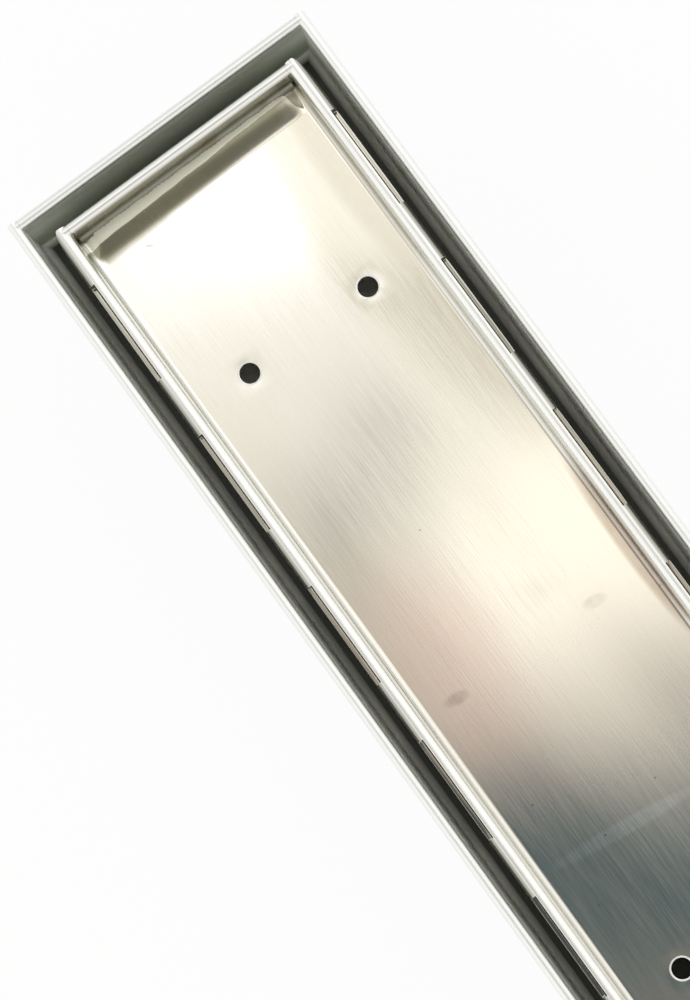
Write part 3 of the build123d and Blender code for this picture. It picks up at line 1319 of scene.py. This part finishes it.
@dataclass
class WeldBeads:
    """Fillets of weld metal where the end plates and the spigot are joined on."""

    trough: Trough
    tray: TileTray
    spigot_leg: float = 1.6
    fillet_steps: int = 5
    pace: float = 0.7
    ripple: float = 0.06
    ripple_waves: Pair = (4.3, 0.83)
    spigot_ripples: int = 96
    sunk: float = 0.25

    @property
    def seams(self) -> tuple[PlateSeam, PlateSeam]:
        """The seams inside the tray, and those outside the trough under the hem of its plate."""
        tray, trough = self.tray, self.trough
        return (PlateSeam(tray, False, tray.end_wall, tray.wall - tray.bend_radius * 0.4,
                          tray.floor + tray.curl_rise - 0.1, (tray.floor + 0.6, tray.top - 1.6),
                          leg=1.8, corner_leg=0.8),
                PlateSeam(trough, True, trough.end_wall + SHEET, trough.wall - trough.bend_radius,
                          trough.floor, (trough.floor + trough.bend_radius,
                                         trough.top - trough.hem_leaf + 0.6),
                          leg=1.2, corner_leg=1.2))

    def lay(self, target: Mesh, start: Vector, end: Vector, first: Vector, second: Vector,
            leg: float) -> None:
        """Lays a straight fillet along an inner corner.

        Args:
            target: Mesh that the bead is added to.
            start: Where the corner line starts.
            end: Where it ends.
            first: Direction away from the corner along one face.
            second: Direction away from it along the other.
            leg: Width of the bead on each face.
        """
        length, sunk = (end - start).length, self.sunk
        parts = max(int(length / self.pace), 3)
        bead = FoldedSheet((0, leg, 0), X_AXIS)
        bead.bend((0, leg, leg), -90, self.fillet_steps)
        bead.run((0, -sunk, leg), (0, -sunk, -sunk), (0, leg, -sunk), (0, leg, 0))
        merge_doubles(bead.mesh)
        bead.sweep(length * number / parts for number in range(parts + 1))
        short, long = self.ripple_waves
        for vert in bead.mesh.verts:
            wave = math.sin(short * vert.co.x) + math.sin(long * vert.co.x + leg)
            swell = 1 + self.ripple * wave
            vert.co.y *= swell
            vert.co.z *= swell
        close_ends(bead.mesh)
        turn = Matrix(((end - start).normalized(), first, second)).transposed().to_4x4()
        matrix = Matrix.Translation(start) @ turn
        bmesh.ops.transform(bead.mesh, matrix=matrix, verts=bead.mesh.verts[:])
        if turn.determinant() < 0:
            bmesh.ops.reverse_faces(bead.mesh, faces=bead.mesh.faces[:])
        join(target, bead.mesh)

    def build_seam(self, end: End, finish: Material, seam: PlateSeam) -> Piece:
        """Lays the foot bead and the two corner beads of an end plate.

        Args:
            end: Which end.
            finish: Material of the weld.
            seam: Where they lie.

        Returns:
            The piece.
        """
        mesh, face = bmesh.new(), end.value * seam.face
        away = X_AXIS * end.value * (1 if seam.outside else -1)
        self.lay(mesh, Vector((face, -seam.edge, seam.foot)), Vector((face, seam.edge, seam.foot)),
                 away, Z_AXIS, seam.leg)
        for side in (-1, 1):
            foot, top = (Vector((face, side * seam.basin.wall, height))
                         for height in seam.corner_heights)
            self.lay(mesh, foot, top, away, Y_AXIS * -side, seam.corner_leg)
        kind = seam.basin.kind
        return finish_piece(mesh, f"{kind}_weld_{end.name.lower()}", finish)

    def build_rim_corners(self, end: End, finish: Material, basin: Basin) -> Piece:
        """Fills the gaps between the rim of an end plate and the rims along the sides.

        Args:
            end: Which end.
            finish: Material of the rim.
            basin: What the plate closes.

        Returns:
            The piece.
        """
        mesh, way = bmesh.new(), end.value
        face, crown = basin.end_wall, basin.hem_width / 2
        height = basin.top - crown
        for side in (-1, 1):
            fill = FoldedSheet((way * face, 0, height), Y_AXIS)
            fill.bend((way * (face + crown), 0, height), 180 * way, HEM_STEPS)
            fill.run((way * face, 0, height))
            merge_doubles(fill.mesh)
            fill.sweep([side * basin.wall, side * (basin.wall + basin.side_fold / 2)])
            close_ends(fill.mesh)
            join(mesh, fill.mesh)
        return finish_piece(mesh, f"{basin.kind}_rim_corners_{end.name.lower()}", finish,
                            grain=Grain.ACROSS)

    def build_spigot_weld(self, finish: Material) -> Piece:
        """Lays the bead round the spigot, under the trough's floor.

        Args:
            finish: Material of the weld.

        Returns:
            The piece.
        """
        leg, radius = self.spigot_leg, self.trough.spigot_radius
        height, sunk = self.trough.spigot_length, self.sunk
        bead = FoldedSheet((radius + leg, 0, height), Y_AXIS)
        bead.bend((radius + leg, 0, height - leg), -90, self.fillet_steps)
        bead.run((radius - sunk, 0, height - leg), (radius - sunk, 0, height + sunk),
                 (radius + leg, 0, height + sunk), (radius + leg, 0, height))
        ring = bead.mesh
        merge_doubles(ring)
        spin_round(ring, [*ring.verts, *ring.edges], steps=3 * self.spigot_ripples)
        for vert in ring.verts:
            bearing = math.atan2(vert.co.y, vert.co.x)
            swell = 1 + self.ripple * math.sin(self.spigot_ripples * bearing)
            reach = math.hypot(vert.co.x, vert.co.y)
            outer = (radius + (reach - radius) * swell) / reach
            vert.co = (vert.co.x * outer, vert.co.y * outer, height + (vert.co.z - height) * swell)
        turn_outwards(ring)
        return finish_piece(ring, "spigot_weld", finish)


# Studio


@dataclass(frozen=True)
class SkyPatch:
    """A soft-edged rectangle of the room overhead, as the steel sees it."""

    middle: Pair
    reach: Pair
    tone: Tone
    share: float = 1.0
    softness: float = 0.4
    turn: float = 0.0

    def lay_over(self, board: NodeBoard, way: Socket, room: Socket) -> Socket:
        """Lays the patch over the room.

        Args:
            board: The world's board.
            way: Direction that is looked in.
            room: Colour of the room so far.

        Returns:
            Colour of the room with the patch.
        """
        sides = [board.math("DIVIDE", board.math("ABSOLUTE", part), reach)
                 for part, reach in zip(board.centred_on(way, self.middle, self.turn), self.reach)]
        edge = board.math("MAXIMUM", *sides)
        limits = (1 + self.softness, 1 - self.softness)
        return board.blend(board.spread(edge, limits, (0.0, self.share), smooth=True), room,
                           self.tone)


@dataclass(frozen=True)
class StudioSky:
    """Soft light from all round, pale to the camera, with the room's tones overhead for the steel.

    The tones run along X, slanted towards Y, from -1 to 1. Far to the sides the room is pale.
    """

    strength: float = 1.2
    slant: float = 0.6
    side_tone: Tone = (0.95, 0.96, 0.93)
    side_share: float = 0.9
    side_limits: Pair = (0.20, 0.60)
    tones: tuple[tuple[float, Tone], ...] = (
        (-1.00, (0.60, 0.62, 0.60)), (-0.45, (0.84, 0.85, 0.83)), (-0.24, (0.94, 0.93, 0.89)),
        (-0.15, (0.97, 0.94, 0.86)), (-0.11, (0.88, 0.83, 0.74)), (-0.07, (0.86, 0.80, 0.70)),
        (-0.045, (1.00, 0.94, 0.83)), (-0.02, (0.80, 0.73, 0.64)), (0.01, (0.50, 0.46, 0.41)),
        (0.03, (0.24, 0.25, 0.24)), (0.042, (0.05, 0.09, 0.10)), (0.08, (0.06, 0.10, 0.11)),
        (0.10, (0.12, 0.15, 0.15)), (0.14, (0.21, 0.19, 0.17)), (0.30, (0.21, 0.19, 0.17)),
        (0.45, (0.34, 0.32, 0.28)), (0.70, (0.85, 0.85, 0.82)), (1.00, (0.95, 0.96, 0.94)),
    )
    patches: tuple[SkyPatch, ...] = (
        SkyPatch((-0.225, -0.008), (0.022, 0.036), (1.30, 1.30, 1.27), softness=0.15, turn=0.12),
        SkyPatch((-0.175, 0.066), (0.085, 0.028), (0.62, 0.59, 0.49), softness=0.2),
        SkyPatch((-0.212, 0.055), (0.040, 0.031), (0.60, 0.56, 0.46), softness=0.25),
        SkyPatch((-0.060, -0.046), (0.042, 0.018), (0.46, 0.42, 0.35), share=0.85, softness=0.7),
        SkyPatch((-0.112, -0.020), (0.016, 0.034), (0.38, 0.40, 0.37), share=0.9, softness=0.6),
        SkyPatch((-0.060, 0.034), (0.030, 0.026), (1.30, 1.25, 1.10), share=0.9, softness=0.6),
        SkyPatch((-0.058, -0.020), (0.005, 0.026), (1.04, 0.66, 0.56), share=0.85,
                 softness=0.5, turn=0.11),
        SkyPatch((-0.034, -0.020), (0.0045, 0.026), (0.86, 0.54, 0.46), share=0.8,
                 softness=0.5, turn=0.11),
        SkyPatch((-0.012, -0.028), (0.0045, 0.018), (0.66, 0.42, 0.36), share=0.8,
                 softness=0.5, turn=0.11),
        SkyPatch((-0.05, -0.35), (0.06, 0.20), (0.42, 0.31, 0.25), share=0.7, softness=0.5),
    )

    def build(self) -> None:
        """Sets up the world."""
        world = bpy.data.worlds.new("studio_sky")
        world.use_nodes = True
        bpy.context.scene.world = world
        board = NodeBoard(world.node_tree)
        way = board.add("TexCoord").outputs["Generated"]
        parts = board.add("SeparateXYZ", {0: way}).outputs
        slanted = board.math("MULTIPLY_ADD", parts["Y"], -self.slant, parts["X"])
        room = board.ramp(board.math("MULTIPLY_ADD", slanted, 0.5, 0.5), -1.0, 1.0, self.tones)
        for patch in self.patches:
            room = patch.lay_over(board, way, room)
        sideways = board.spread(board.math("ABSOLUTE", parts["Y"]), self.side_limits,
                                (0.0, self.side_share), smooth=True)
        room = board.blend(sideways, room, self.side_tone)
        lit = board.add("Background", {"Color": room, "Strength": self.strength}).outputs[0]
        pale = board.add("Background", {"Color": WHITE, "Strength": 1.0}).outputs[0]
        seen = board.add("LightPath").outputs["Is Camera Ray"]
        mixed = board.add("MixShader", {0: seen, 1: lit, 2: pale}).outputs[0]
        board.add("OutputWorld", {"Surface": mixed})


@dataclass(frozen=True)
class StudioFloor:
    """Wide white floor under the drain, in metres."""

    reach: float = 6.0
    segments: int = 64

    def build(self) -> None:
        """Builds the floor."""
        mesh = bmesh.new()
        bmesh.ops.create_circle(mesh, cap_ends=True, segments=self.segments, radius=self.reach)
        data = bpy.data.meshes.new("floor")
        mesh.to_mesh(data)
        mesh.free()
        data.materials.append(FloorPaint().build())
        put_in_scene("floor", data)


@dataclass(frozen=True)
class SoftLamp:
    """A square soft lamp that looks at the drain, in metres and watts."""

    name: str = "key_lamp"
    place: Point = (-0.9, 0.7, 1.9)
    size: float = 1.2
    power: float = 2.5

    def build(self) -> None:
        """Builds the lamp."""
        light = bpy.data.lights.new(self.name, "AREA")
        light.size, light.energy = self.size, self.power
        lamp = put_in_scene(self.name, light)
        lamp.location = self.place
        lamp.rotation_euler = (-Vector(self.place)).to_track_quat("-Z", "Y").to_euler()


@dataclass(frozen=True)
class PhotoCamera:
    """Camera at the photograph's place and angle, with no shift."""

    place: Point = (-0.1734, -0.0032, 0.8150)
    right: Point = (0.58410, 0.80744, -0.08286)
    down: Point = (0.80396, -0.58957, -0.07779)
    focal_pixels: float = 2800.0
    sensor: float = 36.0
    clip_start: float = 0.02

    def build(self) -> None:
        """Builds the camera and makes it the scene's own."""
        optics = bpy.data.cameras.new("camera")
        optics.sensor_width = self.sensor
        optics.lens = self.focal_pixels * self.sensor / max(PHOTO_SIZE)
        optics.clip_start = self.clip_start
        camera = put_in_scene("camera", optics)
        right, up = Vector(self.right).normalized(), -Vector(self.down).normalized()
        turn = Matrix((right, up, right.cross(up))).transposed()
        camera.location = self.place
        camera.rotation_euler = turn.to_euler()
        bpy.context.scene.camera = camera


def build_drain() -> None:
    """Builds every piece of the drain, from the trough up."""
    trough_steel = TroughSteel("trough_sheet_steel", Grain.ALONG).build()
    # Painted shade on the end plates' inner faces: darker at the foot and under the hem.
    graded = ((46.0, (0.62, 0.68, 0.58)), (55.0, (0.93, 0.98, 0.86)), (59.0, (0.93, 0.98, 0.86)),
              (66.0, (0.48, 0.52, 0.44)))
    trough_plate_steel = TroughSteel("trough_plate_steel", Grain.ACROSS, face=graded).build()
    tray_steel = TraySteel("tray_sheet_steel", Grain.ALONG).build()
    # The tray's end plates are coloured dark below the rim as painted shade.
    tray_plate_steel = BrushedSteel("tray_plate_steel", Grain.ACROSS, colour=(0.36, 0.33, 0.27),
                                    roughness=0.24, rim_height=68.2).build()
    spigot_steel = BrushedSteel("spigot_pipe_steel", Grain.ROUND, colour=(0.50, 0.50, 0.48),
                                roughness=0.22, anisotropy=0.5).build()
    weld = WeldSteel("weld_metal").build()

    trough, tray = Trough(), TileTray()
    trough.build_channel(trough_steel)
    trough.build_spigot(spigot_steel)
    tray.build_tray(tray_steel)
    welds = WeldBeads(trough, tray)
    plates = ((trough, trough_plate_steel), (tray, tray_plate_steel))
    for end in End:
        for basin, steel in plates:
            basin.build_end_plate(end, steel)
        for seam in welds.seams:
            welds.build_seam(end, weld, seam)
        for basin, steel in plates:
            welds.build_rim_corners(end, steel, basin)
    welds.build_spigot_weld(weld)


def main() -> None:
    """Builds the drain and the studio round it."""
    build_drain()
    for part in (StudioFloor(), StudioSky(), SoftLamp(), PhotoCamera()):
        part.build()
    bpy.context.scene.view_settings.view_transform = "Standard"


if __name__ == "__main__":
    main()
